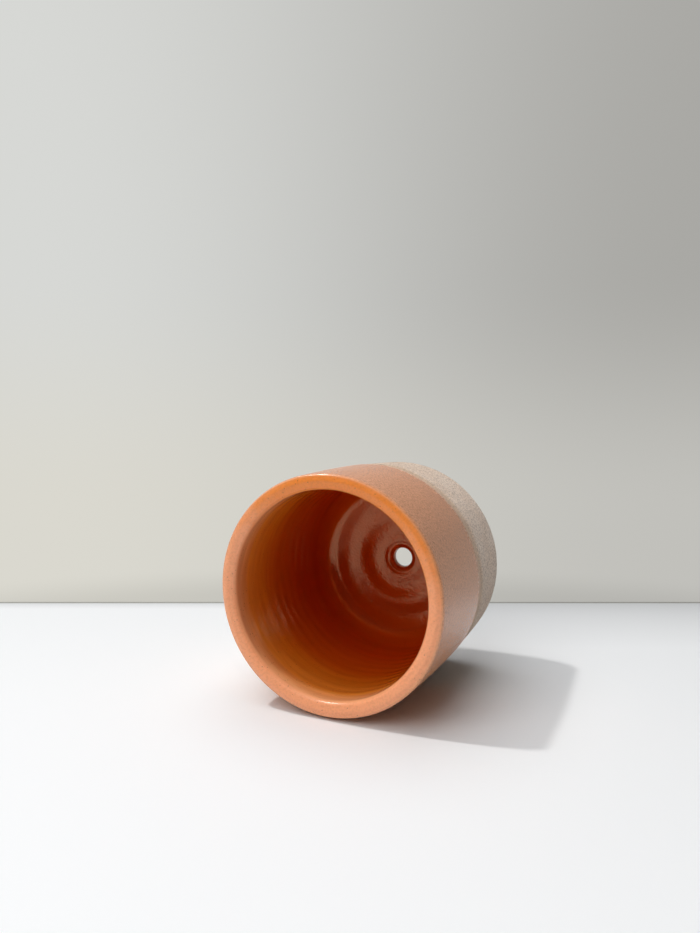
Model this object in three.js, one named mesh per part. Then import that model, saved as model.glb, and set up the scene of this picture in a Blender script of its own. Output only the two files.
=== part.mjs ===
import * as THREE from 'three';

// Cylinder planter in thrown stoneware: a straight, slightly bellied pot with a round heel, a flat
// rounded lip and one drain hole, glazed inside and down to a line on the outside.
// Millimetres, +Z up out of the mouth, origin at the centre of the ring it stands on.

// Clay body
const potHeight = 120; // ground to the top of the lip, over the glaze
const bodyRadius = 62; // clay at the lip and at the ground, where the wall has no belly
const bellyRise = 1.5; // how far the wall swells at half height
const wallThickness = 7.5;
const floorThickness = 7.5; // at the drain hole
const floorRise = 10; // degrees that the dished floor has come to where the corner starts
const heelRound = 11; // outside, between the wall and the ground
const cornerRound = 13; // inside, between the floor and the wall
const lipOuterRound = 1.5;
const lipInnerRound = 2.6;
const lipCrown = 0.4; // rise of the lip's top between its two rounds

// Foot and drain hole
const footRingWidth = 9;
const footRecess = 1.2; // underside turned back inside the ring
const footBevel = 1.6; // slope from the ring up to the recess
const drainRadius = 6.5; // in the clay
const drainMouthRound = 3; // funnel where the floor runs into the hole

// Glaze coat
const glazeThickness = 0.5;
const glazeLineHeight = 52; // where the coat ends on the outside
const glazeEdgeTaper = 1.5; // height over which it thins out there
const glazeDrainEnd = 3; // where the coat ends in the drain hole

// Throwing marks, in the glaze's face: crest and trough lie each side of the plain surface
const ringDepth = 0.2; // rings of the floor, round the drain hole
const ringPitch = 18.5;
const ringCrest = 19.1; // radius of the first crest
const spiralDepth = 0.1; // the one groove that the finger leaves up the wall
const spiralPitch = 8;
const spiralFade = 9; // height over which it dies out below the lip

// Facets
const segments = 44; // round the axis
const floorRows = 16;
const wallRows = 32;
const plainRows = 4; // along a stretch without marks
const roundSteps = 4;

const clayTop = potHeight - glazeThickness;
const lipShoulder = clayTop - lipCrown;
const lipStart = lipShoulder - lipInnerRound;
const floorStart = drainRadius + drainMouthRound;
const floorGrade = Math.tan(THREE.MathUtils.degToRad(floorRise));

// Outside radius of the clay at a height.
function outsideRadius(z) {
  const t = z / clayTop;
  return bodyRadius + 4 * bellyRise * t * (1 - t);
}

// Inside radius of the clay at a height.
function insideRadius(z) {
  return outsideRadius(z) - wallThickness;
}

// Centre of the round between floor and wall, and how far the dished floor reaches up to it.
function cornerPlace() {
  const slope = Math.atan(floorGrade);
  let r = 0;
  let z = floorThickness + cornerRound;
  let reach = 0;
  for (let i = 0; i < 8; i += 1) {
    r = insideRadius(z) - cornerRound;
    reach = r + cornerRound * Math.sin(slope) - floorStart;
    z = floorThickness + (floorGrade * reach) / 2 + cornerRound * Math.cos(slope);
  }
  return { r, z, reach };
}

const corner = cornerPlace();

// Points of an arc about (r, z), from one angle to another in degrees, 0 pointing away from the axis.
function arc(r, z, radius, from, to, steps) {
  return Array.from({ length: steps + 1 }, (_, i) => {
    const angle = THREE.MathUtils.degToRad(from + ((to - from) * i) / steps);
    return new THREE.Vector2(r + radius * Math.cos(angle), z + radius * Math.sin(angle));
  });
}

// Points between two heights or shares, both ends left out.
function between(from, to, rows, place) {
  return Array.from({ length: rows - 1 }, (_, i) => place(from + ((to - from) * (i + 1)) / rows));
}

// The surface that the glaze covers, from the drain hole over the floor, wall and lip to the glaze
// line. It lies proud of the clay by the given height: 0 is the clay, glazeThickness the coat's face.
function glazedSide(proud, rowsOnFloor, rowsOnWall, lowEnd) {
  const innerCentre = insideRadius(lipStart) + lipInnerRound;
  const outerEdge = lipShoulder - lipOuterRound;
  const outerCentre = outsideRadius(outerEdge) - lipOuterRound;
  const onFloor = (u) => {
    const slope = Math.atan(floorGrade * u);
    return new THREE.Vector2(
      floorStart + corner.reach * u - proud * Math.sin(slope),
      floorThickness + (floorGrade * corner.reach * u * u) / 2 + proud * Math.cos(slope),
    );
  };
  const onInside = (z) => new THREE.Vector2(insideRadius(z) - proud, z);
  const onOutside = (z) => new THREE.Vector2(outsideRadius(z) + proud, z);
  const onLip = (u) => new THREE.Vector2(
    innerCentre + (outerCentre - innerCentre) * u,
    lipShoulder + 4 * lipCrown * u * (1 - u) + proud,
  );
  return [
    new THREE.Vector2(drainRadius - proud, glazeDrainEnd),
    ...arc(floorStart, floorThickness - drainMouthRound, drainMouthRound + proud, 180, 90, roundSteps),
    ...between(0, 1, rowsOnFloor, onFloor),
    ...arc(corner.r, corner.z, cornerRound - proud, floorRise - 90, 0, roundSteps),
    ...between(corner.z, lipStart, rowsOnWall, onInside),
    ...arc(innerCentre, lipStart, lipInnerRound + proud, 180, 90, roundSteps),
    ...between(0, 1, plainRows, onLip),
    ...arc(outerCentre, outerEdge, lipOuterRound + proud, 90, 0, roundSteps),
    ...between(outerEdge, lowEnd, plainRows, onOutside),
    onOutside(lowEnd),
  ];
}

// How far a throwing mark has come from its trough at one point, how deep it is, and whether it
// climbs round the pot as a spiral (1) or closes on itself as a ring (0).
function markAt(point) {
  const step = THREE.MathUtils.smoothstep;
  if (point.y < corner.z) {
    const floorEnd = floorStart + corner.reach;
    const fade = step(point.x, floorStart, floorStart + 2) * (1 - step(point.x, floorEnd - 1, floorEnd + 4));
    return { turns: (point.x - ringCrest) / ringPitch, depth: ringDepth * fade, climb: 0 };
  }
  const fade = step(point.y, corner.z, corner.z + 5) * (1 - step(point.y, lipStart - spiralFade, lipStart));
  return { turns: point.y / spiralPitch, depth: spiralDepth * fade, climb: 1 };
}

// Adds the throwing marks to an outline, from the drain hole to the lip.
function withMarks(outline) {
  const finish = outline.findIndex((p) => p.y >= lipStart);
  return outline.map((point, i) => {
    const before = outline[Math.max(i - 1, 0)];
    const after = outline[Math.min(i + 1, outline.length - 1)];
    const run = after.clone().sub(before).normalize();
    const mark = i < finish ? markAt(point) : { turns: 0, depth: 0, climb: 0 };
    return { point, away: new THREE.Vector2(-run.y, run.x), ...mark };
  });
}

// Where a point of an outline lies at an angle: a plain one stays, a marked one moves in or out.
function placed(station, angle) {
  if (station.depth === undefined) {
    return station;
  }
  const shift = station.depth * Math.cos(2 * Math.PI * station.turns - station.climb * angle);
  return station.point.clone().addScaledVector(station.away, shift);
}

// Turns a closed outline about Z, material on its right hand. Each face is split from its lower edge,
// so that two outlines that share a stretch, run either way, share the same triangles.
function turned(outline) {
  const positions = [];
  const index = [];
  const rows = outline.length;
  for (let k = 0; k < segments; k += 1) {
    const angle = (2 * Math.PI * k) / segments;
    for (const station of outline) {
      const p = placed(station, angle);
      positions.push(p.x * Math.cos(angle), p.x * Math.sin(angle), p.y);
    }
    for (let j = 0; j < rows; j += 1) {
      const p = placed(outline[j], 0);
      const q = placed(outline[(j + 1) % rows], 0);
      const next = ((k + 1) % segments) * rows;
      const [a, b] = [k * rows + j, k * rows + ((j + 1) % rows)];
      const [d, c] = [next + j, next + ((j + 1) % rows)];
      const lowFirst = p.y < q.y || (p.y === q.y && p.x < q.x);
      index.push(...(lowFirst ? [a, b, c, a, c, d] : [a, b, d, b, c, d]));
    }
  }
  const geometry = new THREE.BufferGeometry();
  geometry.setAttribute('position', new THREE.Float32BufferAttribute(positions, 3));
  geometry.setIndex(index);
  geometry.computeVertexNormals();
  return geometry;
}

// The thrown body: wall, floor, drain hole, round heel, and the ring it stands on.
function clayBody() {
  const heelCentre = outsideRadius(heelRound) - heelRound;
  const ringInside = heelCentre - footRingWidth;
  const bareWall = (z) => new THREE.Vector2(outsideRadius(z), z);
  return turned([
    new THREE.Vector2(drainRadius, footRecess),
    ...glazedSide(0, plainRows, plainRows * 2, glazeLineHeight),
    ...between(glazeLineHeight, heelRound, plainRows, bareWall),
    ...arc(heelCentre, heelRound, heelRound, 0, -90, roundSteps * 2),
    new THREE.Vector2(ringInside, 0),
    new THREE.Vector2(ringInside - footBevel, footRecess),
  ]);
}

// The glaze: a thin closed coat on the body, with the throwing marks in the face that shows inside.
function glazeCoat() {
  const face = glazedSide(glazeThickness, floorRows, wallRows, glazeLineHeight + glazeEdgeTaper);
  const back = glazedSide(0, plainRows, plainRows * 2, glazeLineHeight);
  return turned([...withMarks(face), ...back.reverse()]);
}

const clay = new THREE.MeshStandardMaterial({ color: 0xcbb196, roughness: 0.92, metalness: 0 });
const glaze = new THREE.MeshStandardMaterial({ color: 0xd8844e, roughness: 0.28, metalness: 0 });

const planter = new THREE.Group();
for (const [name, geometry, material] of [
  ['clay_body', clayBody(), clay],
  ['glaze_coat', glazeCoat(), glaze],
]) {
  const piece = new THREE.Mesh(geometry, material);
  piece.name = name;
  planter.add(piece);
}

export default planter;
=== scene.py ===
import math

import bpy
import numpy as np
from mathutils import Matrix, Vector


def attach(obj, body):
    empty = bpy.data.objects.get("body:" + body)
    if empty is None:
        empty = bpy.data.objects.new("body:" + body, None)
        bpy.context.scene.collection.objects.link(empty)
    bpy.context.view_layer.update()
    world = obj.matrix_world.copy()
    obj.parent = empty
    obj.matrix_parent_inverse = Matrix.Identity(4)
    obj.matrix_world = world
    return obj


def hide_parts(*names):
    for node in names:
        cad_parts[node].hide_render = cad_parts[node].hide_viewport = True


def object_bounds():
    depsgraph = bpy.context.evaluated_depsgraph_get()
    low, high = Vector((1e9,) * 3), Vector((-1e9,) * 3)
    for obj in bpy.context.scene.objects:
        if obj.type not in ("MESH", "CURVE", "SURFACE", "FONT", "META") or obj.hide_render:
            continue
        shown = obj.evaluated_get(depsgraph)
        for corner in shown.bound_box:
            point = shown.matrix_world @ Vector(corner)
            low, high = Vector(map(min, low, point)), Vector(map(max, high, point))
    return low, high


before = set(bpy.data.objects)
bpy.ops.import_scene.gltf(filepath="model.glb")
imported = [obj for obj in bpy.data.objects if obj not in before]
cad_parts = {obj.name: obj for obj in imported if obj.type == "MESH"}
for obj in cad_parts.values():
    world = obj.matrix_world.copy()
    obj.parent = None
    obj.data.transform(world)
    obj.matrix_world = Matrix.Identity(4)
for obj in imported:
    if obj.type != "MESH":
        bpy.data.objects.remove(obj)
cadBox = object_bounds()
mm = 0.001
print("frame loaded:", ", ".join(sorted(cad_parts)))


def hexColour(text):  # sRGB hex to the linear colour that shaders and lamps take
    parts = [int(text[i:i + 2], 16) / 255 for i in (1, 3, 5)]
    linear = [c / 12.92 if c <= 0.04045 else ((c + 0.055) / 1.055) ** 2.4 for c in parts]
    return (*linear, 1.0)


def addNode(tree, kind, values=None, **settings):  # a value that is a socket becomes a link
    node = tree.nodes.new(kind)
    for name, value in settings.items():
        setattr(node, name, value)
    for socket, value in (values or {}).items():
        if isinstance(value, bpy.types.NodeSocket):
            tree.links.new(value, node.inputs[socket])
        else:
            node.inputs[socket].default_value = value
    return node


def newMaterial(name):
    material = bpy.data.materials.new(name)
    material.use_nodes = True
    material.node_tree.nodes.clear()
    return material, material.node_tree


# The picture's own space: right, straight ahead along the floor, and up from the floor, in metres,
# measured from the point of the floor under the camera. The pot lies on its side there, its base
# turned to the right; the row's frame has it upright.
picture = {
    "lens": 27.0,  # mm on a 36 mm wide sensor
    "cameraHeight": 0.1525,
    "cameraPitch": 3.70,  # degrees down
    "mouthRight": -0.0132,
    "mouthAhead": 0.3477,
    "potTurn": 24.66,  # degrees from straight ahead to the pot's axis, mouth to base
    "restRadius": 0.0640,  # the belly that touches the floor
    "restSide": 67.5,  # degrees from +X to the side of the pot that touches the floor
}


def pictureToRow():
    turn, side = math.radians(picture["potTurn"]), math.radians(picture["restSide"])
    axis = Vector((math.sin(turn), math.cos(turn), 0))
    mouth = Vector((picture["mouthRight"], picture["mouthAhead"], picture["restRadius"]))
    base = mouth + axis * (cadBox[1].z - cadBox[0].z)
    up = -axis
    down = Vector((0, 0, -1))
    across = up.cross(down)
    rowX = down * math.cos(side) - across * math.sin(side)
    rowY = down * math.sin(side) + across * math.cos(side)
    turned = Matrix((rowX, rowY, up))
    return Matrix.Translation(-(turned @ base)) @ turned.to_4x4()


toRow = pictureToRow()


def makeCamera():
    pitch = math.radians(picture["cameraPitch"])
    ahead = Vector((0, math.cos(pitch), -math.sin(pitch)))
    up = Vector((0, math.sin(pitch), math.cos(pitch)))
    right = Vector((1, 0, 0))
    placed = Matrix((right, up, -ahead)).transposed().to_4x4()
    placed.translation = Vector((0, 0, picture["cameraHeight"]))
    data = bpy.data.cameras.new("photoCamera")
    data.lens = picture["lens"]
    data.sensor_width = 36
    camera = bpy.data.objects.new("photoCamera", data)
    camera.matrix_world = toRow @ placed
    bpy.context.scene.collection.objects.link(camera)
    bpy.context.scene.camera = camera


makeCamera()
print("camera placed")


# The table, the pale wall behind it and the lamps. Places and directions are in picture space.
stage = {
    "floorLeft": -0.75,
    "floorRight": 0.75,
    "floorNear": -0.20,
    "floorFar": 0.583,  # where the table ends against the wall
    "jointWidth": 0.004,  # the dark line between them
    "floorColour": "#F2F4F6",
    "jointColour": "#B9B8B2",
    "shadeLeft": 0.022,  # how far the painted shade at the wall's foot reaches on the table
    "shadeRight": 0.12,
    "shadeDepth": 0.42,
    "shadeSpan": 0.12,  # each side of the pot, over which that reach grows
    "shadeCurve": 0.45,
    # the wall's four tones are painted light and shade on a plain pale wall: darker to the right,
    # most of all high up
    "wallTopLeft": "#D7D8D5",
    "wallTopRight": "#A9A8A4",
    "wallLowLeft": "#DAD8CF",
    "wallLowRight": "#C1C0BB",
    "wallAcross": (-0.42, 0.46),  # sines of the angles between which its painted light and shade change
    "wallDown": (0.20, -0.12),
    "wallFoot": (-0.20, -0.245),  # painted shade, darker in the last finger's breadth
    "wallFootShade": 0.85,
    "roomDark": 0.03,  # the room behind the camera, as reflections show it
    "roomFrom": (-0.05, 0.30),
    "ambientColour": "#FFFFFF",
    "ambientStrength": 0.05,
    "ambientSlope": (-0.03, 0.0, 0.0),  # how it grows towards the right, ahead and up
    "keyFrom": (-0.494, 0.057, 0.868),
    "keyDistance": 3.20,
    "keyWidth": 0.18,
    "keyPower": 34.0,
    "keyColour": "#FFFDFA",
    "topFrom": (-0.13, 0.06, 0.985),
    "topDistance": 1.40,
    "topWidth": 1.50,
    "topPower": 11.9,
    "topColour": "#FFFFFF",
    "fillFrom": (-0.40, -0.62, 0.68),
    "fillDistance": 1.2,
    "fillWidth": 1.0,
    "fillHeight": 0.7,
    "fillPower": 5.6,
    "fillColour": "#FFFFFF",
}


def floorMaterial(name, colour):
    # Painted board, rolled matt: pale and even, with a shade painted into its colour along the foot
    # of the wall. Seen from below it is clear, so that no view is blocked by it.
    material, tree = newMaterial(name)
    where = addNode(tree, "ShaderNodeTexCoord").outputs["Object"]
    turned = toRow.to_3x3()
    ahead = addNode(tree, "ShaderNodeVectorMath", {0: where, 1: (turned @ Vector((0, 1, 0)))[:]},
                    operation="DOT_PRODUCT").outputs["Value"]
    across = addNode(tree, "ShaderNodeVectorMath", {0: where, 1: (turned @ Vector((1, 0, 0)))[:]},
                     operation="DOT_PRODUCT").outputs["Value"]
    origin = toRow.translation
    fromWall = addNode(tree, "ShaderNodeMath", {
        0: stage["floorFar"] + origin.dot(turned @ Vector((0, 1, 0))), 1: ahead,
    }, operation="SUBTRACT")
    middle = origin.dot(turned @ Vector((1, 0, 0)))
    reach = addNode(tree, "ShaderNodeMapRange", {
        "Value": across, "From Min": middle - stage["shadeSpan"],
        "From Max": middle + stage["shadeSpan"], "To Min": stage["shadeLeft"],
        "To Max": stage["shadeRight"],
    }, interpolation_type="SMOOTHSTEP")
    share = addNode(tree, "ShaderNodeMath", {0: fromWall.outputs[0], 1: reach.outputs[0]},
                    operation="DIVIDE", use_clamp=True)
    share = addNode(tree, "ShaderNodeMath", {0: share.outputs[0], 1: stage["shadeCurve"]},
                    operation="POWER")
    # painted shade: towards the wall's foot the board's colour is darkened by shadeDepth
    tone = hexColour(colour)
    paintedShadeTone = (*(c * (1 - stage["shadeDepth"]) for c in tone[:3]), 1.0)
    boardWithPaintedShade = addNode(tree, "ShaderNodeMix", {0: share.outputs[0], 6: paintedShadeTone, 7: tone},
                    data_type="RGBA")
    board = addNode(tree, "ShaderNodeBsdfPrincipled", {
        "Base Color": boardWithPaintedShade.outputs[2], "Roughness": 0.7, "IOR": 1.45, "Specular IOR Level": 0.2,
    })
    clear = addNode(tree, "ShaderNodeBsdfTransparent")
    behind = addNode(tree, "ShaderNodeMath", {
        0: addNode(tree, "ShaderNodeNewGeometry").outputs["Backfacing"],
        1: addNode(tree, "ShaderNodeLightPath").outputs["Is Camera Ray"],
    }, operation="MULTIPLY")
    mixed = addNode(tree, "ShaderNodeMixShader", {
        0: behind.outputs[0], 1: board.outputs[0], 2: clear.outputs[0],
    })
    addNode(tree, "ShaderNodeOutputMaterial", {"Surface": mixed.outputs[0]})
    return material


def makeFloor():
    left, right = stage["floorLeft"], stage["floorRight"]
    near, far = stage["floorNear"], stage["floorFar"]
    joint = far - stage["jointWidth"]
    corners = [(x, y, 0) for y in (near, joint, far) for x in (left, right)]
    mesh = bpy.data.meshes.new("paleFloor")
    mesh.from_pydata([toRow @ Vector(c) for c in corners], [], [(0, 1, 3, 2), (2, 3, 5, 4)])
    mesh.materials.append(floorMaterial("paintedBoard", stage["floorColour"]))
    mesh.materials.append(floorMaterial("boardJoint", stage["jointColour"]))
    mesh.polygons[1].material_index = 1
    floor = bpy.data.objects.new("paleFloor", mesh)
    bpy.context.scene.collection.objects.link(floor)


def makeWorld():
    # The wall's painted light and shade run from left to right and from high to low, for the camera
    # and for reflections. The lamps light the pot, with a weak ambient from here.
    world = bpy.data.worlds.new("paleRoom")
    world.use_nodes = True
    tree = world.node_tree
    tree.nodes.clear()
    rays = addNode(tree, "ShaderNodeLightPath").outputs
    glossy = addNode(tree, "ShaderNodeMath", {
        0: rays["Is Glossy Ray"], 1: rays["Is Transmission Ray"],
    }, operation="ADD", use_clamp=True)
    seen = addNode(tree, "ShaderNodeMath", {0: rays["Is Camera Ray"], 1: glossy.outputs[0]},
                   operation="ADD", use_clamp=True)
    direction = addNode(tree, "ShaderNodeTexCoord").outputs["Generated"]
    turned = toRow.to_3x3()
    parts = [
        addNode(tree, "ShaderNodeVectorMath", {0: direction, 1: (turned @ Vector(axis))[:]},
                operation="DOT_PRODUCT").outputs["Value"]
        for axis in ((1, 0, 0), (0, 0, 1), (0, -1, 0))
    ]
    sideways = addNode(tree, "ShaderNodeMapRange", {
        "Value": parts[0], "From Min": stage["wallAcross"][0], "From Max": stage["wallAcross"][1],
    }, interpolation_type="SMOOTHSTEP")
    downwards = addNode(tree, "ShaderNodeMapRange", {
        "Value": parts[1], "From Min": stage["wallDown"][0], "From Max": stage["wallDown"][1],
    }, interpolation_type="SMOOTHSTEP")
    high = addNode(tree, "ShaderNodeMix", {
        0: sideways.outputs[0], 6: hexColour(stage["wallTopLeft"]),
        7: hexColour(stage["wallTopRight"]),
    }, data_type="RGBA")
    low = addNode(tree, "ShaderNodeMix", {
        0: sideways.outputs[0], 6: hexColour(stage["wallLowLeft"]),
        7: hexColour(stage["wallLowRight"]),
    }, data_type="RGBA")
    wall = addNode(tree, "ShaderNodeMix", {
        0: downwards.outputs[0], 6: high.outputs[2], 7: low.outputs[2],
    }, data_type="RGBA")
    # painted shade: the wall darkens in the last finger's breadth above the table
    paintedFootShade = addNode(tree, "ShaderNodeMapRange", {
        "Value": parts[1], "From Min": stage["wallFoot"][0], "From Max": stage["wallFoot"][1],
        "To Min": 1.0, "To Max": stage["wallFootShade"],
    }, interpolation_type="SMOOTHSTEP")
    front = addNode(tree, "ShaderNodeMapRange", {
        "Value": parts[2], "From Min": stage["roomFrom"][0], "From Max": stage["roomFrom"][1],
        "To Min": 1.0, "To Max": stage["roomDark"],
    }, interpolation_type="SMOOTHSTEP")
    room = addNode(tree, "ShaderNodeMix", {0: glossy.outputs[0], 2: 1.0, 3: front.outputs[0]})
    level = addNode(tree, "ShaderNodeMath", {0: paintedFootShade.outputs[0], 1: room.outputs[0]},
                    operation="MULTIPLY")
    shown = addNode(tree, "ShaderNodeBackground", {
        "Color": wall.outputs[2], "Strength": level.outputs[0],
    })
    slope = addNode(tree, "ShaderNodeVectorMath", {
        0: direction, 1: (turned @ Vector(stage["ambientSlope"]))[:],
    }, operation="DOT_PRODUCT")
    ambient = addNode(tree, "ShaderNodeMath", {
        0: slope.outputs["Value"], 1: stage["ambientStrength"],
    }, operation="ADD")
    ambient = addNode(tree, "ShaderNodeMath", {0: ambient.outputs[0], 1: 0.0},
                      operation="MAXIMUM")
    lit = addNode(tree, "ShaderNodeBackground", {
        "Color": hexColour(stage["ambientColour"]), "Strength": ambient.outputs[0],
    })
    mixed = addNode(tree, "ShaderNodeMixShader", {
        0: seen.outputs[0], 1: lit.outputs[0], 2: shown.outputs[0],
    })
    addNode(tree, "ShaderNodeOutputWorld", {"Surface": mixed.outputs[0]})
    bpy.context.scene.world = world


def makeLamp(name, direction, distance, power, colour, glossy, settings):
    data = bpy.data.lights.new(name, "AREA")
    data.energy = power
    data.color = hexColour(colour)[:3]
    for key, value in settings.items():
        setattr(data, key, value)
    lamp = bpy.data.objects.new(name, data)
    towards = (toRow.to_3x3() @ Vector(direction)).normalized()
    up = toRow.to_3x3() @ Vector((0, 0, 1))
    across = up.cross(towards).normalized()
    faced = Matrix((across, towards.cross(across), towards)).transposed()
    middle = Vector((0, 0, (cadBox[0].z + cadBox[1].z) / 2))
    lamp.matrix_world = Matrix.Translation(middle + towards * distance) @ faced.to_4x4()
    lamp.visible_camera = False
    lamp.visible_glossy = glossy
    bpy.context.scene.collection.objects.link(lamp)


makeFloor()
makeWorld()
makeLamp("keyLamp", stage["keyFrom"], stage["keyDistance"], stage["keyPower"],
         stage["keyColour"], True, {"shape": "DISK", "size": stage["keyWidth"]})
makeLamp("topLamp", stage["topFrom"], stage["topDistance"], stage["topPower"],
         stage["topColour"], False, {"shape": "DISK", "size": stage["topWidth"]})
makeLamp("fillLamp", stage["fillFrom"], stage["fillDistance"], stage["fillPower"],
         stage["fillColour"], False,
         {"shape": "RECTANGLE", "size": stage["fillWidth"], "size_y": stage["fillHeight"]})
bpy.context.scene.view_settings.view_transform = "Standard"
print("stage and lamps made")


# Sizes of the thrown pot in millimetres, as in the solid model.
pot = {
    "clayTop": 119.5,
    "bodyRadius": 62.0,
    "bellyRise": 1.5,
    "wall": 7.5,
    "floor": 7.5,  # thickness at the drain hole
    "floorRise": 10.0,  # degrees that the dished floor has come to where the corner starts
    "heel": 11.0,
    "corner": 13.0,
    "lipOuter": 1.5,
    "lipInner": 2.6,
    "lipCrown": 0.4,
    "footRing": 9.0,
    "footRecess": 1.2,
    "footBevel": 1.6,
    "drain": 6.5,
    "drainMouth": 3.0,
}


def outsideRadius(z):
    t = z / pot["clayTop"]
    return pot["bodyRadius"] + 4 * pot["bellyRise"] * t * (1 - t)


def insideRadius(z):
    return outsideRadius(z) - pot["wall"]


def cornerPlace():  # centre of the round between floor and wall, and the floor's reach up to it
    start, slope = pot["drain"] + pot["drainMouth"], math.radians(pot["floorRise"])
    height = pot["floor"] + pot["corner"]
    for _ in range(8):
        centre = insideRadius(height) - pot["corner"]
        reach = centre + pot["corner"] * math.sin(slope) - start
        height = pot["floor"] + math.tan(slope) * reach / 2 + pot["corner"] * math.cos(slope)
    return centre, height, reach


def arcRun(r, z, radius, start, end, step):  # a round, angles in degrees from straight outwards
    count = max(3, round(abs(math.radians(end - start)) * radius / step))
    angles = np.radians(np.linspace(start, end, count + 1))
    return [(r + radius * math.cos(a), z + radius * math.sin(a)) for a in angles]


def wallRun(radiusAt, start, end, step):  # a wall whose radius changes with height
    count = max(2, round(abs(end - start) / step))
    return [(float(radiusAt(z)), float(z)) for z in np.linspace(start, end, count + 1)]


def flatRun(start, end, z, step):
    count = max(2, round(abs(end - start) / step))
    return [(float(r), z) for r in np.linspace(start, end, count + 1)]


def dishRun(start, reach, proud, step):  # the pot's floor, rising more and more outwards
    grade = math.tan(math.radians(pot["floorRise"]))
    run = []
    for share in np.linspace(0, 1, max(3, round(reach / step) + 1)):
        slope = math.atan(grade * share)
        rise = grade * reach / 2 * share * share
        run.append((start + reach * share - proud * math.sin(slope),
                    pot["floor"] + rise + proud * math.cos(slope)))
    return run


def joinRuns(runs):  # one outline out of several runs, points that meet kept once
    outline = []
    for run in runs:
        for point in run:
            if not outline or math.dist(point, outline[-1]) > 1e-4:
                outline.append(point)
    return outline


def innerOutline(proud, step):  # drain hole, floor, corner, wall and lip
    mouthCentre = pot["drain"] + pot["drainMouth"]
    cornerCentre, cornerHeight, reach = cornerPlace()
    shoulder = pot["clayTop"] - pot["lipCrown"]
    innerEdge, outerEdge = shoulder - pot["lipInner"], shoulder - pot["lipOuter"]
    innerCentre = insideRadius(innerEdge) + pot["lipInner"]
    outerCentre = outsideRadius(outerEdge) - pot["lipOuter"]
    crown = []
    for u in np.linspace(0, 1, max(3, round((outerCentre - innerCentre) / (step * 0.5)) + 1)):
        rise = 4 * pot["lipCrown"] * u * (1 - u)
        crown.append((innerCentre + (outerCentre - innerCentre) * u, shoulder + rise + proud))
    return joinRuns([
        arcRun(mouthCentre, pot["floor"] - pot["drainMouth"], pot["drainMouth"] + proud, 180, 90,
               step * 0.5),
        dishRun(mouthCentre, reach, proud, step),
        arcRun(cornerCentre, cornerHeight, pot["corner"] - proud, pot["floorRise"] - 90, 0, step),
        wallRun(lambda z: insideRadius(z) - proud, cornerHeight, innerEdge, step),
        arcRun(innerCentre, innerEdge, pot["lipInner"] + proud, 180, 90, step * 0.4),
        crown,
        arcRun(outerCentre, outerEdge, pot["lipOuter"] + proud, 90, 0, step * 0.4),
    ])


def runLengths(outline):
    points = np.array(outline)
    return np.concatenate(([0], np.cumsum(np.hypot(*np.diff(points, axis=0).T))))


def turnedMesh(name, radii, heights, marks):
    # Rows of points round the axis become a closed skin. radii and heights hold one row for each
    # point of the outline and one column for each angle, in millimetres.
    rows, segments = radii.shape
    angles = np.linspace(0, 2 * math.pi, segments, endpoint=False)
    points = np.stack([radii * np.cos(angles), radii * np.sin(angles), heights], axis=2) * mm
    j, k = np.meshgrid(np.arange(rows), np.arange(segments), indexing="ij")
    nextJ, nextK = (j + 1) % rows, (k + 1) % segments
    faces = np.stack([j * segments + k, nextJ * segments + k, nextJ * segments + nextK,
                      j * segments + nextK], axis=2).reshape(-1, 4)
    mesh = bpy.data.meshes.new(name)
    mesh.vertices.add(rows * segments)
    mesh.vertices.foreach_set("co", points.astype(np.float32).ravel())
    mesh.loops.add(faces.size)
    mesh.loops.foreach_set("vertex_index", faces.astype(np.int32).ravel())
    mesh.polygons.add(len(faces))
    mesh.polygons.foreach_set("loop_start", np.arange(0, faces.size, 4, dtype=np.int32))
    mesh.polygons.foreach_set("use_smooth", np.ones(len(faces), bool))
    along = np.append(marks["along"], marks["around"]) / marks["around"]
    uv = mesh.uv_layers.new(name="turned")
    u = np.stack([k, k, k + 1, k + 1], axis=2) / segments
    v = np.stack([along[j], along[j + 1], along[j + 1], along[j]], axis=2)
    uv.data.foreach_set("uv", np.stack([u, v], axis=3).astype(np.float32).ravel())
    for key, values in marks["point"].items():
        layer = mesh.attributes.new(key, "FLOAT", "POINT")
        full = np.broadcast_to(values if values.ndim == 2 else values[:, None], radii.shape)
        layer.data.foreach_set("value", full.astype(np.float32).ravel())
    mesh.update(calc_edges=True)
    mesh.validate()
    piece = bpy.data.objects.new(name, mesh)
    bpy.context.scene.collection.objects.link(piece)
    return piece


def wave(angles, parts):  # a slow wander round the pot: parts are (turns, height, phase)
    return sum(height * np.cos(turns * angles - phase) for turns, height, phase in parts)


def smooth(value, low, high):
    t = np.clip((value - low) / (high - low), 0, 1)
    return t * t * (3 - 2 * t)


def bakeTree(piece, tree, values):  # runs a node tree on a piece and keeps the plain mesh
    modifier = piece.modifiers.new(tree.name, "NODES")
    modifier.node_group = tree
    for item in tree.interface.items_tree:
        if item.in_out == "INPUT" and item.name in values:
            modifier[item.identifier] = values[item.name]
    graph = bpy.context.evaluated_depsgraph_get()
    made = bpy.data.meshes.new_from_object(piece.evaluated_get(graph),
                                           preserve_all_data_layers=True, depsgraph=graph)
    piece.modifiers.remove(modifier)
    piece.data = made
    return piece


def newTree(name, sockets):
    tree = bpy.data.node_groups.new(name, "GeometryNodeTree")
    tree.interface.new_socket(name="Geometry", in_out="OUTPUT", socket_type="NodeSocketGeometry")
    for label, kind in [("Geometry", "NodeSocketGeometry"), *sockets]:
        tree.interface.new_socket(name=label, in_out="INPUT", socket_type=kind)
    return tree, addNode(tree, "NodeGroupInput").outputs


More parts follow.
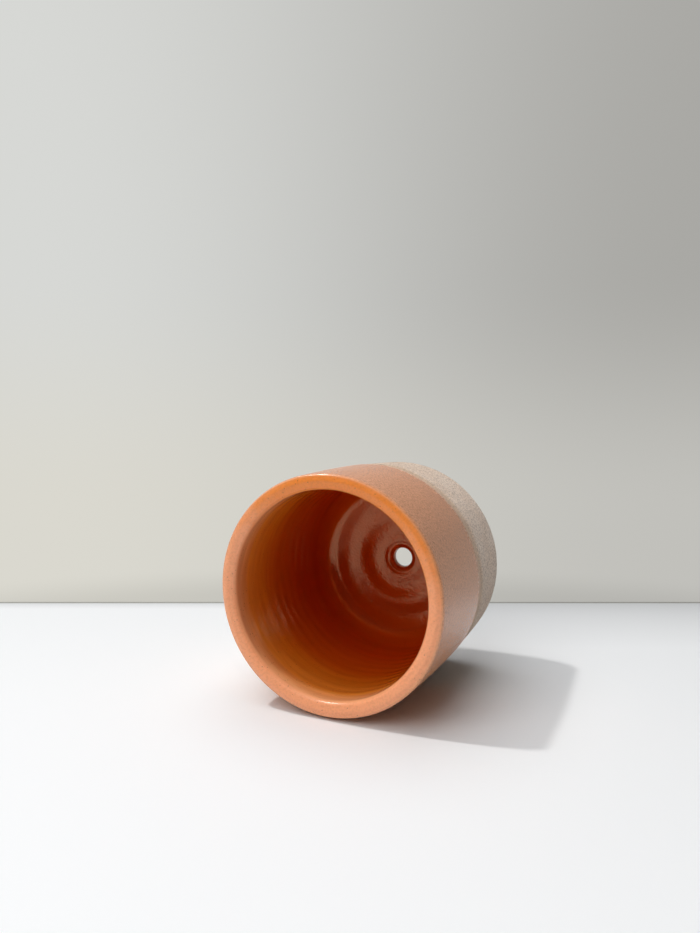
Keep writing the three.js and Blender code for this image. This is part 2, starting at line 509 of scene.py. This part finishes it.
glaze = {
    "thickness": 0.5,  # over the clay
    "sunk": 0.2,  # how far its hidden back lies in the clay
    "segments": 376,
    "step": 1.15,  # between rows
    "lineHeight": 51.0,  # mean height of the line on the outside
    "lineSlant": 4.0,  # it was dipped a little askew
    "lineHighSide": 225.0,  # degrees from +X to the side where the line is highest
    "edgeTaper": 7.0,  # height over which the coat thins out
    "fringe": 13.0,  # height over which its colour goes
    "rimOrangeSide": 232.0,  # degrees from +X to the side of the rim that stays orange; towards the other side it is painted peach
    "drainEnd": 3.0,
    "tuck": 0.8,  # how far above the line its hidden back starts
    "ringDepth": 0.20,  # throwing rings of the floor, crest and trough each side of the dish
    "ringPitch": 18.5,
    "ringCrest": 19.1,  # radius of the first crest
    "ringWander": 0.10,  # in pitches
    "spiralDepth": 0.07,  # finger spiral of the wall
    "spiralPitch": 8.0,
    "spiralWander": 1.2,
    "fade": 9.0,
    "unevenness": 0.10,  # lumps of the poured coat
    "inside": [  # colour by height, as a share of the pot's 120 mm: painted light near the lip, where light falls in, and painted shade deeper in, over the glaze's own orange
        (0.0, "#CC4A04"), (0.33, "#C43E03"), (0.60, "#CC5808"), (0.75, "#E4821E"),
        (0.875, "#F49636"), (0.985, "#FFBE88"),
    ],
    "streakColour": "#A83A06",
    "streakShade": 0.25,
    "rimOrange": "#F68E3E",
    # the orange glaze with a painted reflection of the bright table
    "rimPeachReflection": "#FCA878",
    "outside": "#EDA373",
    "hollowGlazeAndShadeColour": "#96552C",
    "hollowShade": 0.42,  # how dark the hollows of the outside are painted: pooled glaze and painted shade
    "sandShade": 0.12,
    "wornPale": "#F2D8C0",
    "wornBrown": "#A88260",
    "speckColour": "#5A2C14",
    "speckShare": 0.26,
    "speckShade": 0.50,
    "ringRelief": 0.010,  # fine wheel rings of the face
    "peelRelief": 0.10,
    "dryRelief": 0.32,
    "glossInside": 0.07,  # roughness
    "glossRim": 0.30,
    "bendRim": 1.50,  # index of refraction; the full coat is rich in iron and flux
    "bendInside": 1.95,
    "warmGlint": "#FFCB9C",
}


def glazeLine(angles):
    turnFrom = math.radians(glaze["lineHighSide"])
    return (glaze["lineHeight"] + glaze["lineSlant"] * np.cos(angles - turnFrom)
            + wave(angles, [(2, 0.7, 1.0), (3, 0.5, 2.6), (5, 0.3, 0.4), (9, 0.22, 1.9),
                            (14, 0.14, 4.0)]))


def throwingMarks(outline):
    # How many rings or turns lie before each point, and how strong the rings and the spiral are.
    points, lengths = np.array(outline), runLengths(outline)
    cornerCentre, cornerHeight, reach = cornerPlace()
    start = pot["drain"] + pot["drainMouth"]
    onset = np.argmax(points[:, 0] >= start)
    floorEnd = np.argmax(points[:, 0] >= start + reach - 1)
    wallStart = np.argmax(points[:, 1] >= cornerHeight - 2)
    lipStart = pot["clayTop"] - pot["lipCrown"] - pot["lipInner"]
    finish = np.argmax(points[:, 1] >= lipStart)
    onWall = np.arange(len(points)) > (floorEnd + wallStart) // 2
    rings = (points[:, 0] - glaze["ringCrest"]) / glaze["ringPitch"]
    turns = np.where(onWall, lengths / glaze["spiralPitch"], rings)
    ring = (smooth(lengths, lengths[onset], lengths[onset] + 2)
            * (1 - smooth(lengths, lengths[floorEnd] - 1, lengths[floorEnd] + 5)))
    spiral = (smooth(lengths, lengths[wallStart] - 4, lengths[wallStart] + 5)
              * (1 - smooth(lengths, lengths[finish] - glaze["fade"], lengths[finish])))
    return turns, np.where(onWall, 0, ring), np.where(onWall, spiral, 0)


def glazeMesh():
    angles = np.linspace(0, 2 * math.pi, glaze["segments"], endpoint=False)
    thick, step = glaze["thickness"], glaze["step"]
    inner = innerOutline(thick, step)
    turns, ring, spiral = throwingMarks(inner)
    points = np.array(inner)
    lipTop = points[:, 1].max()
    innerRadius = insideRadius(lipTop) - thick
    width = pot["wall"] + 2 * thick
    # 1 is the full coat inside, a half is the rim, 0 the thin coat outside
    overRim = smooth(points[:, 0], innerRadius + width * 0.80, innerRadius + width * 0.98)
    intoPot = smooth(lipTop - points[:, 1], 0.6, 4.5)
    coat = np.where(points[:, 0] < innerRadius + width * 0.5, 0.5 + 0.5 * intoPot,
                    0.5 - 0.5 * overRim)
    radii = [np.full_like(angles, r) for r, z in inner]
    heights = [np.full_like(angles, z) for r, z in inner]
    line = glazeLine(angles)
    top = inner[-1][1]
    outsideRows = round((top - glaze["lineHeight"]) / step)
    thin = [np.zeros_like(angles)] * len(inner)
    face = [1.0] * len(inner)
    coat = list(coat)
    shares = np.linspace(0, 1, outsideRows + 1)[1:]
    shares = np.append(shares[:-1], [0.9975, 1.0])  # a narrow last row, where the coat turns in
    for share in shares:
        z = top + (line - top) * share
        left = z - line
        proud = thick * smooth(left, 0, glaze["edgeTaper"])
        radii.append(outsideRadius(z) + proud - 0.02)
        heights.append(z)
        thin.append(1 - smooth(left, 0, glaze["fringe"]))
        face.append(1.0)
        coat.append(0.0)
    # the hidden back, from the line over the lip and down to the drain hole
    tucked = line + glaze["tuck"]
    back = [(outsideRadius(tucked) - glaze["sunk"], tucked)]
    back += innerOutline(-glaze["sunk"], step * 6)[::-1]
    drainEdge = [(pot["drain"] - proud, glaze["drainEnd"]) for proud in (-glaze["sunk"], thick)]
    for radius, height in back + drainEdge:
        radii.append(radius + np.zeros_like(angles))
        heights.append(height + np.zeros_like(angles))
        thin.append(np.zeros_like(angles))
        face.append(0.0)
    coat += [0.0] * len(back) + [1.0] * len(drainEdge)
    radii, heights = np.array(radii), np.array(heights)
    spare = np.zeros(len(radii) - len(inner))
    mean = np.stack([radii.mean(axis=1), heights.mean(axis=1)], axis=1)
    lengths = runLengths(mean)
    around = lengths[-1] + math.dist(mean[-1], mean[0])
    marks = {
        "along": lengths,
        "around": around,
        "point": {
            "turns": np.concatenate((turns, spare)),
            "ring": np.concatenate((ring, spare)),
            "spiral": np.concatenate((spiral, spare)),
            "face": np.array(face),
            "thin": np.array(thin),
            "coat": np.array(coat),
        },
    }
    return turnedMesh("glaze_coat_skin", radii, heights, marks), around


def throwingTree():
    # Moves the glaze's face in and out: rings round the drain hole, one spiral up the wall, and
    # the soft lumps of a poured coat.
    tree, given = newTree("throwingRings", [
        ("Ring Depth", "NodeSocketFloat"), ("Spiral Depth", "NodeSocketFloat"),
        ("Ring Wander", "NodeSocketFloat"), ("Spiral Wander", "NodeSocketFloat"),
        ("Unevenness", "NodeSocketFloat"), ("Material", "NodeSocketMaterial"),
    ])
    marks = {
        name: addNode(tree, "GeometryNodeInputNamedAttribute", {"Name": name},
                      data_type="FLOAT").outputs["Attribute"]
        for name in ("turns", "ring", "spiral", "face")
    }
    place = addNode(tree, "GeometryNodeInputPosition").outputs[0]
    split = addNode(tree, "ShaderNodeSeparateXYZ", {0: place}).outputs
    angle = addNode(tree, "ShaderNodeMath", {0: split[1], 1: split[0]}, operation="ARCTAN2")
    slow = addNode(tree, "ShaderNodeTexNoise", {"Vector": place, "Scale": 34.0, "Detail": 1.0},
                   noise_dimensions="3D")  # some 30 mm across
    centred = addNode(tree, "ShaderNodeMath", {0: slow.outputs[0], 1: 0.5}, operation="SUBTRACT")
    moves = []
    for mark, wander, depth, twist in (("ring", "Ring Wander", "Ring Depth", 0.0),
                                       ("spiral", "Spiral Wander", "Spiral Depth", -1.0)):
        phase = addNode(tree, "ShaderNodeMath", {
            0: centred.outputs[0], 1: given[wander], 2: marks["turns"],
        }, operation="MULTIPLY_ADD")
        turned = addNode(tree, "ShaderNodeMath", {0: angle.outputs[0], 1: twist},
                         operation="MULTIPLY")
        phase = addNode(tree, "ShaderNodeMath", {
            0: phase.outputs[0], 1: 2 * math.pi, 2: turned.outputs[0],
        }, operation="MULTIPLY_ADD")
        swing = addNode(tree, "ShaderNodeMath", {0: phase.outputs[0]}, operation="COSINE")
        strength = addNode(tree, "ShaderNodeMath", {0: marks[mark], 1: given[depth]},
                           operation="MULTIPLY")
        moves.append(addNode(tree, "ShaderNodeMath", {0: swing.outputs[0], 1: strength.outputs[0]},
                             operation="MULTIPLY").outputs[0])
    ridges = addNode(tree, "ShaderNodeMath", {0: moves[0], 1: moves[1]}, operation="ADD")
    lumps = addNode(tree, "ShaderNodeTexNoise", {"Vector": place, "Scale": 95.0, "Detail": 2.0},
                    noise_dimensions="3D")  # some 10 mm across
    uneven = addNode(tree, "ShaderNodeMath", {0: lumps.outputs[0], 1: given["Unevenness"]},
                     operation="MULTIPLY")
    inwards = addNode(tree, "ShaderNodeMath", {0: uneven.outputs[0], 1: marks["face"]},
                      operation="MULTIPLY")
    move = addNode(tree, "ShaderNodeMath", {0: ridges.outputs[0], 1: inwards.outputs[0]},
                   operation="SUBTRACT")
    offset = addNode(tree, "ShaderNodeVectorMath", {
        0: addNode(tree, "GeometryNodeInputNormal").outputs[0], "Scale": move.outputs[0],
    }, operation="SCALE")
    moved = addNode(tree, "GeometryNodeSetPosition", {
        "Geometry": given["Geometry"], "Offset": offset.outputs[0],
    })
    whole = addNode(tree, "GeometryNodeRealizeInstances", {0: moved.outputs[0]})
    finished = addNode(tree, "GeometryNodeSetMaterial", {
        "Geometry": whole.outputs[0], "Material": given["Material"],
    })
    addNode(tree, "NodeGroupOutput", {0: finished.outputs[0]})
    return tree


def amberGlaze(around):
    # Amber stoneware glaze, poured inside and dipped outside, fired glossy. The full coat inside is
    # a deep orange, painted paler near the lip where light falls in and red brown deeper in where
    # shade falls; the thin coat outside is a dusty peach over dry hollows, which are painted
    # darker.
    # Fine rings from the wheel, small dark iron specks, and a pale worn fringe where it thins out
    # at the line.
    material, tree = newMaterial("amberGlaze")
    where = addNode(tree, "ShaderNodeTexCoord").outputs["Object"]
    flat = addNode(tree, "ShaderNodeVectorMath", {0: where, 1: (1, 1, 0)}, operation="MULTIPLY")
    outwards = addNode(tree, "ShaderNodeVectorMath", {0: flat.outputs[0]}, operation="NORMALIZE")
    rows = addNode(tree, "ShaderNodeSeparateXYZ", {
        0: addNode(tree, "ShaderNodeUVMap", uv_map="turned").outputs[0],
    })
    along = addNode(tree, "ShaderNodeMath", {0: rows.outputs[1], 1: around},
                    operation="MULTIPLY").outputs[0]  # millimetres along the outline
    ringPlace = addNode(tree, "ShaderNodeCombineXYZ", {2: along})
    thin = addNode(tree, "ShaderNodeAttribute", attribute_name="thin").outputs["Fac"]
    coat = addNode(tree, "ShaderNodeAttribute", attribute_name="coat").outputs["Fac"]
    inside = addNode(tree, "ShaderNodeMapRange", {
        "Value": coat, "From Min": 0.5, "From Max": 1.0,
    }).outputs[0]
    outside = addNode(tree, "ShaderNodeMapRange", {
        "Value": coat, "From Min": 0.5, "From Max": 0.0,
    }).outputs[0]

    # Inside, the glaze's orange is painted paler at the lip, where light falls in, and red brown
    # with depth, where shade falls. Soft streaks run round the wall, 2 to 8 mm apart.
    height = addNode(tree, "ShaderNodeSeparateXYZ", {0: where}).outputs[2]
    depth = addNode(tree, "ShaderNodeMapRange", {"Value": height, "From Max": 0.120})
    tones = addNode(tree, "ShaderNodeValToRGB", {0: depth.outputs[0]})
    stops = tones.color_ramp.elements
    for place, colour in glaze["inside"]:
        stop = stops[0] if place == 0 else stops.new(place)
        stop.color = hexColour(colour)
    stops.remove(stops[-1])
    streakPlace = addNode(tree, "ShaderNodeVectorMath", {
        0: outwards.outputs[0], 1: (1.3, 1.3, 1.3), 2: addNode(tree, "ShaderNodeVectorMath", {
            0: ringPlace.outputs[0], "Scale": 1 / 5.5,
        }, operation="SCALE").outputs[0],
    }, operation="MULTIPLY_ADD")
    streaks = addNode(tree, "ShaderNodeTexNoise", {
        "Vector": streakPlace.outputs[0], "Scale": 1.0, "Detail": 3.0, "Roughness": 0.6,
    })
    streak = addNode(tree, "ShaderNodeMapRange", {
        "Value": streaks.outputs[0], "From Min": 0.30, "From Max": 0.70,
        "To Min": glaze["streakShade"], "To Max": 0.0,
    }, interpolation_type="SMOOTHSTEP")
    deep = addNode(tree, "ShaderNodeMix", {
        0: streak.outputs[0], 6: tones.outputs[0], 7: hexColour(glaze["streakColour"]),
    }, data_type="RGBA")

    # The rim is orange on one side and peach on the other, the peach being a painted reflection of
    # the bright table on the orange glaze, in patches some 12 mm across, with grains of sand 1.2 mm
    # apart within them.
    patches = addNode(tree, "ShaderNodeTexNoise", {"Vector": where, "Scale": 85.0, "Detail": 2.0})
    sand = addNode(tree, "ShaderNodeTexNoise", {
        "Vector": where, "Scale": 800.0, "Detail": 1.5, "Roughness": 0.6,
    })
    side = math.radians(glaze["rimOrangeSide"])
    towards = addNode(tree, "ShaderNodeVectorMath", {
        0: outwards.outputs[0], 1: (math.cos(side), math.sin(side), 0),
    }, operation="DOT_PRODUCT").outputs["Value"]
    patch = addNode(tree, "ShaderNodeMath", {
        0: patches.outputs[0], 1: -0.9, 2: towards,
    }, operation="MULTIPLY_ADD")
    patch = addNode(tree, "ShaderNodeMapRange", {
        "Value": patch.outputs[0], "From Min": 0.50, "From Max": -0.35,
    }, interpolation_type="SMOOTHSTEP")
    rim = addNode(tree, "ShaderNodeMix", {
        0: patch.outputs[0], 6: hexColour(glaze["rimOrange"]), 7: hexColour(glaze["rimPeachReflection"]),
    }, data_type="RGBA")
    body = addNode(tree, "ShaderNodeMix", {0: inside, 6: rim.outputs[2], 7: deep.outputs[2]},
                   data_type="RGBA")
    body = addNode(tree, "ShaderNodeMix", {
        0: outside, 6: body.outputs[2], 7: hexColour(glaze["outside"]),
    }, data_type="RGBA")

    # The thin coat outside shows the grog under it: its hollows are painted darker, partly glaze
    # pooled there and partly painted shade. They are 1.2 mm apart round the pot and 0.7 mm up it,
    # drawn out as the wheel left them.
    squashed = addNode(tree, "ShaderNodeVectorMath", {0: where, 1: (850, 850, 1500)},
                       operation="MULTIPLY")
    wrinkles = addNode(tree, "ShaderNodeTexNoise", {
        "Vector": squashed.outputs[0], "Scale": 1.0, "Detail": 3.0, "Roughness": 0.65,
    })
    hollow = addNode(tree, "ShaderNodeMapRange", {
        "Value": wrinkles.outputs[0], "From Min": 0.62, "From Max": 0.34,
    }, interpolation_type="SMOOTHSTEP").outputs[0]
    sandy = addNode(tree, "ShaderNodeMapRange", {
        "Value": sand.outputs[0], "From Min": 0.56, "From Max": 0.36,
    }, interpolation_type="SMOOTHSTEP").outputs[0]
    dry = addNode(tree, "ShaderNodeMapRange", {
        "Value": coat, "From Min": 0.10, "From Max": 0.0,
    }).outputs[0]
    onRim = addNode(tree, "ShaderNodeMapRange", {
        "Value": coat, "From Min": 0.8, "From Max": 0.5,
    }).outputs[0]
    hollow = addNode(tree, "ShaderNodeMath", {0: hollow, 1: dry}, operation="MULTIPLY")
    hollow = addNode(tree, "ShaderNodeMath", {
        0: hollow.outputs[0], 1: glaze["hollowShade"],
        2: addNode(tree, "ShaderNodeMath", {
            0: addNode(tree, "ShaderNodeMath", {0: sandy, 1: onRim},
                       operation="MULTIPLY").outputs[0],
            1: glaze["sandShade"],
        }, operation="MULTIPLY").outputs[0],
    }, operation="MULTIPLY_ADD")
    body = addNode(tree, "ShaderNodeMix", {
        0: hollow.outputs[0], 6: body.outputs[2], 7: hexColour(glaze["hollowGlazeAndShadeColour"]),
    }, data_type="RGBA")

    # The fringe at the line wears through to the tones of the bare clay, its edge broken up by
    # grains 1.5 mm apart.
    fringe = addNode(tree, "ShaderNodeTexNoise", {
        "Vector": where, "Scale": 650.0, "Detail": 3.0, "Roughness": 0.6,
    })
    fringe = addNode(tree, "ShaderNodeMapRange", {
        "Value": fringe.outputs[0], "From Min": 0.3, "From Max": 0.7, "To Min": -0.28,
        "To Max": 0.28,
    })
    worn = addNode(tree, "ShaderNodeMath", {0: thin, 1: fringe.outputs[0]}, operation="ADD")
    worn = addNode(tree, "ShaderNodeMapRange", {
        "Value": worn.outputs[0], "From Min": 0.30, "From Max": 0.98,
    }, interpolation_type="SMOOTHSTEP").outputs[0]
    # in the worn fringe the hollows take the brown tone: partly grime, partly painted shade
    bare = addNode(tree, "ShaderNodeMix", {
        0: hollow.outputs[0], 6: hexColour(glaze["wornPale"]), 7: hexColour(glaze["wornBrown"]),
    }, data_type="RGBA")
    edge = addNode(tree, "ShaderNodeMix", {0: worn, 6: body.outputs[2], 7: bare.outputs[2]},
                   data_type="RGBA")

    # Iron specks: cells are 1.8 mm apart, and one in four holds a speck some 0.5 mm across.
    cells = addNode(tree, "ShaderNodeTexVoronoi", {"Vector": where, "Scale": 560.0})
    ragged = addNode(tree, "ShaderNodeMath", {
        0: sand.outputs[0], 1: 0.20, 2: cells.outputs["Distance"],
    }, operation="MULTIPLY_ADD")
    near = addNode(tree, "ShaderNodeMapRange", {
        "Value": ragged.outputs[0], "From Min": 0.30, "From Max": 0.20,
    })
    chosen = addNode(tree, "ShaderNodeSeparateColor", {0: cells.outputs["Color"]})
    chosen = addNode(tree, "ShaderNodeMath", {0: chosen.outputs[0], 1: glaze["speckShare"]},
                     operation="LESS_THAN")
    speck = addNode(tree, "ShaderNodeMath", {0: near.outputs[0], 1: chosen.outputs[0]},
                    operation="MULTIPLY")
    speck = addNode(tree, "ShaderNodeMath", {0: speck.outputs[0], 1: glaze["speckShade"]},
                    operation="MULTIPLY")
    colour = addNode(tree, "ShaderNodeMix", {
        0: speck.outputs[0], 6: edge.outputs[2], 7: hexColour(glaze["speckColour"]),
    }, data_type="RGBA")

    # Relief: wheel rings 1.6 mm apart, the orange peel of the gloss, 1.3 mm from dimple to
    # dimple, and the dry skin outside.
    closeRings = addNode(tree, "ShaderNodeVectorMath", {
        0: ringPlace.outputs[0], "Scale": 1 / 1.6,
    }, operation="SCALE")
    closeRings = addNode(tree, "ShaderNodeVectorMath", {
        0: outwards.outputs[0], 1: (3.0, 3.0, 3.0), 2: closeRings.outputs[0],
    }, operation="MULTIPLY_ADD")
    ringNoise = addNode(tree, "ShaderNodeTexNoise", {
        "Vector": closeRings.outputs[0], "Scale": 1.0, "Detail": 2.0, "Roughness": 0.6,
    })
    peel = addNode(tree, "ShaderNodeTexNoise", {
        "Vector": where, "Scale": 760.0, "Detail": 1.0, "Roughness": 0.5,
    })
    firstBump = addNode(tree, "ShaderNodeBump", {
        "Strength": 1.0, "Distance": glaze["ringRelief"] * mm, "Height": ringNoise.outputs[0],
    })
    secondBump = addNode(tree, "ShaderNodeBump", {
        "Strength": 1.0, "Distance": glaze["peelRelief"] * mm, "Height": peel.outputs[0],
        "Normal": firstBump.outputs[0],
    })
    thirdBump = addNode(tree, "ShaderNodeBump", {
        "Strength": dry, "Distance": glaze["dryRelief"] * mm,
        "Height": wrinkles.outputs[0], "Normal": secondBump.outputs[0],
    })
    roughness = addNode(tree, "ShaderNodeMapRange", {
        "Value": coat, "From Min": 0.8, "From Max": 0.5, "To Min": glaze["glossInside"],
        "To Max": glaze["glossRim"],
    })
    roughness = addNode(tree, "ShaderNodeMath", {
        0: outside, 1: -0.14, 2: roughness.outputs[0],
    }, operation="MULTIPLY_ADD")
    roughness = addNode(tree, "ShaderNodeMath", {0: worn, 1: 0.6, 2: roughness.outputs[0]},
                        operation="MULTIPLY_ADD")
    bend = addNode(tree, "ShaderNodeMapRange", {
        "Value": coat, "From Min": 0.5, "From Max": 1.0, "To Min": glaze["bendRim"],
        "To Max": glaze["bendInside"],
    })
    bend = addNode(tree, "ShaderNodeMath", {0: outside, 1: 0.20, 2: bend.outputs[0]},
                   operation="MULTIPLY_ADD")
    warm = addNode(tree, "ShaderNodeMix", {
        0: inside, 6: hexColour("#FFFFFF"), 7: hexColour(glaze["warmGlint"]),
    }, data_type="RGBA")
    gloss = addNode(tree, "ShaderNodeBsdfPrincipled", {
        "Base Color": colour.outputs[2], "Roughness": roughness.outputs[0],
        "IOR": bend.outputs[0], "Specular Tint": warm.outputs[2],
        "Normal": thirdBump.outputs[0],
    })
    addNode(tree, "ShaderNodeOutputMaterial", {"Surface": gloss.outputs[0]})
    return material


glazeSkin, glazeAround = glazeMesh()
bakeTree(glazeSkin, throwingTree(), {
    "Ring Depth": glaze["ringDepth"] * mm, "Spiral Depth": glaze["spiralDepth"] * mm,
    "Ring Wander": glaze["ringWander"], "Spiral Wander": glaze["spiralWander"],
    "Unevenness": glaze["unevenness"] * mm,
    "Material": amberGlaze(glazeAround),
})
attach(glazeSkin, "root")
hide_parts("glaze_coat")
print("glaze coat made:", len(glazeSkin.data.polygons), "faces")


clay = {
    "segments": 560,
    "bareStep": 0.8,  # between rows where it shows
    "hiddenStep": 5.0,  # and under the glaze
    "underGlaze": 6.0,  # how far the close rows reach above the line
    "grain": 0.10,  # depth of the hollows in the mesh
    "grainSize": 2.4,
    "stain": 7.0,  # how far the glaze has coloured the clay below the line
    "stainColour": "#DDB58C",
    "stainShade": 0.7,
    "deepTone": "#F2D3B8",  # the clay's two tones, in clouds some 17 mm across
    "paleTone": "#FFF0E0",
    # colour and strength of the low places: partly grime, partly painted shade
    "pitColour": "#97755A",
    "pitShade": 0.78,
    "relief": 0.45,  # grog and pits of the skin
}


def clayMesh():
    heelCentre = outsideRadius(pot["heel"]) - pot["heel"]
    ringInside = heelCentre - pot["footRing"]
    bevelEnd = ringInside - pot["footBevel"]
    glazed = glaze["lineHeight"] + glaze["lineSlant"] + clay["underGlaze"]
    hidden = innerOutline(0, clay["hiddenStep"])
    bare = clay["bareStep"]
    outline = joinRuns([
        wallRun(lambda z: pot["drain"], pot["footRecess"], hidden[0][1], bare),
        hidden,
        wallRun(outsideRadius, hidden[-1][1], glazed, clay["hiddenStep"]),
        wallRun(outsideRadius, glazed, pot["heel"], bare),
        arcRun(heelCentre, pot["heel"], pot["heel"], 0, -90, bare),
        flatRun(heelCentre, ringInside, 0.0, bare),
        [(bevelEnd, pot["footRecess"])],
        flatRun(bevelEnd, pot["drain"] + 0.6, pot["footRecess"], bare * 2),
    ])
    points = np.array(outline)
    columns = np.ones(clay["segments"])
    lengths = runLengths(outline)
    around = lengths[-1] + math.dist(outline[-1], outline[0])
    outside = points[:, 0] > heelCentre - 1e-6
    grain = np.where(outside & (points[:, 1] < glazed), 1.0, 0.0)
    grain = np.where((points[:, 1] <= pot["footRecess"] + 1e-6), 1.0, grain)
    angles = np.linspace(0, 2 * math.pi, clay["segments"], endpoint=False)
    below = glazeLine(angles)[None, :] - points[:, 1:]
    stain = np.where(outside[:, None], 1 - smooth(below, 0, clay["stain"]), 0)
    marks = {"along": lengths, "around": around, "point": {"grain": grain, "stain": stain}}
    return turnedMesh("clay_body_skin", np.outer(points[:, 0], columns),
                      np.outer(points[:, 1], columns), marks)


def grainTree():  # sinks small hollows into the bare clay
    tree, given = newTree("clayGrain", [
        ("Depth", "NodeSocketFloat"), ("Grain Size", "NodeSocketFloat"),
        ("Material", "NodeSocketMaterial"),
    ])
    share = addNode(tree, "GeometryNodeInputNamedAttribute", {"Name": "grain"},
                    data_type="FLOAT").outputs["Attribute"]
    place = addNode(tree, "GeometryNodeInputPosition").outputs[0]
    perMetre = addNode(tree, "ShaderNodeMath", {0: 1.0, 1: given["Grain Size"]},
                       operation="DIVIDE")
    noise = addNode(tree, "ShaderNodeTexNoise", {
        "Vector": place, "Scale": perMetre.outputs[0], "Detail": 2.0, "Roughness": 0.6,
    }, noise_dimensions="3D")
    hollow = addNode(tree, "ShaderNodeMapRange", {
        "Value": noise.outputs[0], "From Min": 0.35, "From Max": 0.65, "To Min": 1.0, "To Max": 0.0,
    })
    depth = addNode(tree, "ShaderNodeMath", {0: share, 1: given["Depth"]}, operation="MULTIPLY")
    depth = addNode(tree, "ShaderNodeMath", {0: depth.outputs[0], 1: hollow.outputs[0]},
                    operation="MULTIPLY")
    depth = addNode(tree, "ShaderNodeMath", {0: depth.outputs[0], 1: -1.0}, operation="MULTIPLY")
    offset = addNode(tree, "ShaderNodeVectorMath", {
        0: addNode(tree, "GeometryNodeInputNormal").outputs[0], "Scale": depth.outputs[0],
    }, operation="SCALE")
    moved = addNode(tree, "GeometryNodeSetPosition", {
        "Geometry": given["Geometry"], "Offset": offset.outputs[0],
    })
    whole = addNode(tree, "GeometryNodeRealizeInstances", {0: moved.outputs[0]})
    finished = addNode(tree, "GeometryNodeSetMaterial", {
        "Geometry": whole.outputs[0], "Material": given["Material"],
    })
    addNode(tree, "NodeGroupOutput", {0: finished.outputs[0]})
    return tree


def bareStoneware():
    # Buff stoneware, thrown, sponged and fired bare: a dry, pale, finely pitted skin with the
    # grog showing.
    material, tree = newMaterial("bareStoneware")
    where = addNode(tree, "ShaderNodeTexCoord").outputs["Object"]
    cloud = addNode(tree, "ShaderNodeTexNoise", {
        "Vector": where, "Scale": 60.0, "Detail": 4.0, "Roughness": 0.6,
    })
    body = addNode(tree, "ShaderNodeMix", {
        0: cloud.outputs[0], 6: hexColour(clay["deepTone"]), 7: hexColour(clay["paleTone"]),
    }, data_type="RGBA")
    stain = addNode(tree, "ShaderNodeAttribute", attribute_name="stain").outputs["Fac"]
    stained = addNode(tree, "ShaderNodeMath", {0: stain, 1: clay["stainShade"]},
                      operation="MULTIPLY")
    body = addNode(tree, "ShaderNodeMix", {
        0: stained.outputs[0], 6: body.outputs[2], 7: hexColour(clay["stainColour"]),
    }, data_type="RGBA")
    # Grog 1.1 mm apart and pits 1.2 mm apart. The low places are painted browner, partly grime
    # and partly painted shade.
    grog = addNode(tree, "ShaderNodeTexNoise", {
        "Vector": where, "Scale": 900.0, "Detail": 3.5, "Roughness": 0.65,
    })
    pits = addNode(tree, "ShaderNodeTexVoronoi", {"Vector": where, "Scale": 800.0},
                   feature="SMOOTH_F1")
    rough = addNode(tree, "ShaderNodeMath", {
        0: pits.outputs["Distance"], 1: 0.4, 2: grog.outputs[0],
    }, operation="MULTIPLY_ADD")
    pitGrimeAndShade = addNode(tree, "ShaderNodeMapRange", {
        "Value": grog.outputs[0], "From Min": 0.36, "From Max": 0.57,
        "To Min": clay["pitShade"], "To Max": 0.0,
    })
    skinColour = addNode(tree, "ShaderNodeMix", {
        0: pitGrimeAndShade.outputs[0], 6: body.outputs[2], 7: hexColour(clay["pitColour"]),
    }, data_type="RGBA")
    gritty = addNode(tree, "ShaderNodeBump", {
        "Strength": 1.0, "Distance": clay["relief"] * mm, "Height": rough.outputs[0],
    })
    skin = addNode(tree, "ShaderNodeBsdfPrincipled", {
        "Base Color": skinColour.outputs[2], "Roughness": 0.9, "Diffuse Roughness": 0.6,
        "IOR": 1.5, "Specular IOR Level": 0.35, "Sheen Weight": 0.30, "Sheen Roughness": 0.45,
        "Normal": gritty.outputs[0],
    })
    addNode(tree, "ShaderNodeOutputMaterial", {"Surface": skin.outputs[0]})
    return material


claySkin = clayMesh()
bakeTree(claySkin, grainTree(), {
    "Depth": clay["grain"] * mm, "Grain Size": clay["grainSize"] * mm,
    "Material": bareStoneware(),
})
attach(claySkin, "root")
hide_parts("clay_body")
print("clay body made:", len(claySkin.data.polygons), "faces")
